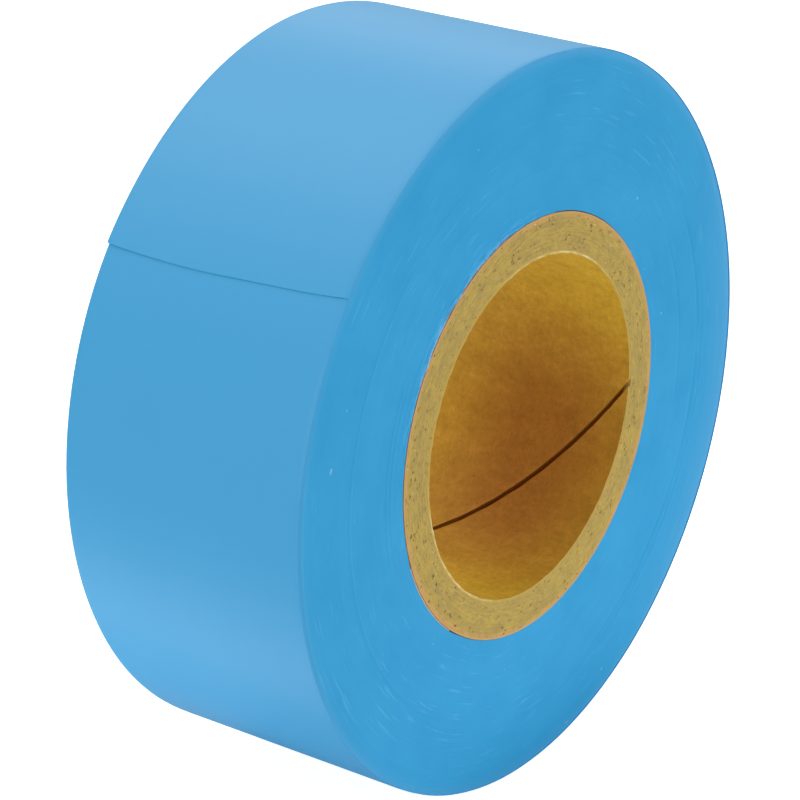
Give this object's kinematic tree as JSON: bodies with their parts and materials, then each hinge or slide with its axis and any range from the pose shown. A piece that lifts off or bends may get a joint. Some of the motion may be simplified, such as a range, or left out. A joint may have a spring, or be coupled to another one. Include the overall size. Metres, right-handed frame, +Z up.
{
  "type": "marking film roll",
  "caption": "Roll of plain coloured plastic marking film wound on a spiral-wound board core, with a loose free end that lifts off the roll.",
  "frame": {"origin": "on the roll's axis, at mid-width", "axes": "+Y along the roll's axis, away from the face that shows the free end running anticlockwise outwards; +Z up, with the roll standing on its rim; +X completes the right-handed set"},
  "size_m": [0.0814, 0.03, 0.0815],
  "materials": {
    "film_blue": "satin",
    "kraft_gold": "matte",
    "board_grey": "matte",
    "kraft_brown": "matte",
    "tab_white": "matte"
  },
  "bodies": {
    "roll": {"core_liner_ply": "kraft_gold", "core_body_ply_1": "board_grey", "core_body_ply_2": "board_grey", "core_body_ply_3": "board_grey", "core_body_ply_4": "board_grey", "core_body_ply_5": "board_grey", "core_body_ply_6": "board_grey", "core_body_ply_7": "board_grey", "core_body_ply_8": "board_grey", "core_face_ply": "kraft_brown", "core_start_tab": "tab_white", "film_pack": "film_blue"},
    "tail_01": {"film_tail_01": "film_blue"},
    "tail_02": {"film_tail_02": "film_blue"},
    "tail_03": {"film_tail_03": "film_blue"},
    "tail_04": {"film_tail_04": "film_blue"},
    "tail_05": {"film_tail_05": "film_blue"},
    "tail_06": {"film_tail_06": "film_blue"},
    "tail_07": {"film_tail_07": "film_blue"},
    "tail_08": {"film_tail_08": "film_blue"},
    "tail_09": {"film_tail_09": "film_blue"},
    "tail_10": {"film_tail_10": "film_blue"},
    "tail_11": {"film_tail_11": "film_blue"},
    "tail_12": {"film_tail_12": "film_blue"}
  },
  "joints": [
    {"name": "peel_01", "type": "hinge", "parent": "roll", "child": "tail_01", "pos_m": [0.00455, 0, 0.04056], "axis": [0, 1, 0], "range_deg": [0, 7.5]},
    {"name": "peel_02", "type": "hinge", "parent": "tail_01", "child": "tail_02", "pos_m": [0.001, 0, 0.0408], "axis": [0, 1, 0], "range_deg": [0, 7.5]},
    {"name": "peel_03", "type": "hinge", "parent": "tail_02", "child": "tail_03", "pos_m": [-0.00256, 0, 0.04073], "axis": [0, 1, 0], "range_deg": [0, 7.5]},
    {"name": "peel_04", "type": "hinge", "parent": "tail_03", "child": "tail_04", "pos_m": [-0.0061, 0, 0.04036], "axis": [0, 1, 0], "range_deg": [0, 7.5]},
    {"name": "peel_05", "type": "hinge", "parent": "tail_04", "child": "tail_05", "pos_m": [-0.0096, 0, 0.03967], "axis": [0, 1, 0], "range_deg": [0, 7.5]},
    {"name": "peel_06", "type": "hinge", "parent": "tail_05", "child": "tail_06", "pos_m": [-0.01302, 0, 0.03869], "axis": [0, 1, 0], "range_deg": [0, 7.5]},
    {"name": "peel_07", "type": "hinge", "parent": "tail_06", "child": "tail_07", "pos_m": [-0.01634, 0, 0.03741], "axis": [0, 1, 0], "range_deg": [0, 7.5]},
    {"name": "peel_08", "type": "hinge", "parent": "tail_07", "child": "tail_08", "pos_m": [-0.01954, 0, 0.03584], "axis": [0, 1, 0], "range_deg": [0, 7.5]},
    {"name": "peel_09", "type": "hinge", "parent": "tail_08", "child": "tail_09", "pos_m": [-0.02259, 0, 0.034], "axis": [0, 1, 0], "range_deg": [0, 7.5]},
    {"name": "peel_10", "type": "hinge", "parent": "tail_09", "child": "tail_10", "pos_m": [-0.02547, 0, 0.0319], "axis": [0, 1, 0], "range_deg": [0, 7.5]},
    {"name": "peel_11", "type": "hinge", "parent": "tail_10", "child": "tail_11", "pos_m": [-0.02815, 0, 0.02956], "axis": [0, 1, 0], "range_deg": [0, 7.5]},
    {"name": "peel_12", "type": "hinge", "parent": "tail_11", "child": "tail_12", "pos_m": [-0.03062, 0, 0.027], "axis": [0, 1, 0], "range_deg": [0, 7.5]}
  ],
  "couplings": [
    {"joint": "peel_02", "follows": "peel_01", "ratio": 1},
    {"joint": "peel_03", "follows": "peel_01", "ratio": 1},
    {"joint": "peel_04", "follows": "peel_01", "ratio": 1},
    {"joint": "peel_06", "follows": "peel_05", "ratio": 1},
    {"joint": "peel_07", "follows": "peel_05", "ratio": 1},
    {"joint": "peel_08", "follows": "peel_05", "ratio": 1},
    {"joint": "peel_10", "follows": "peel_09", "ratio": 1},
    {"joint": "peel_11", "follows": "peel_09", "ratio": 1},
    {"joint": "peel_12", "follows": "peel_09", "ratio": 1}
  ]
}
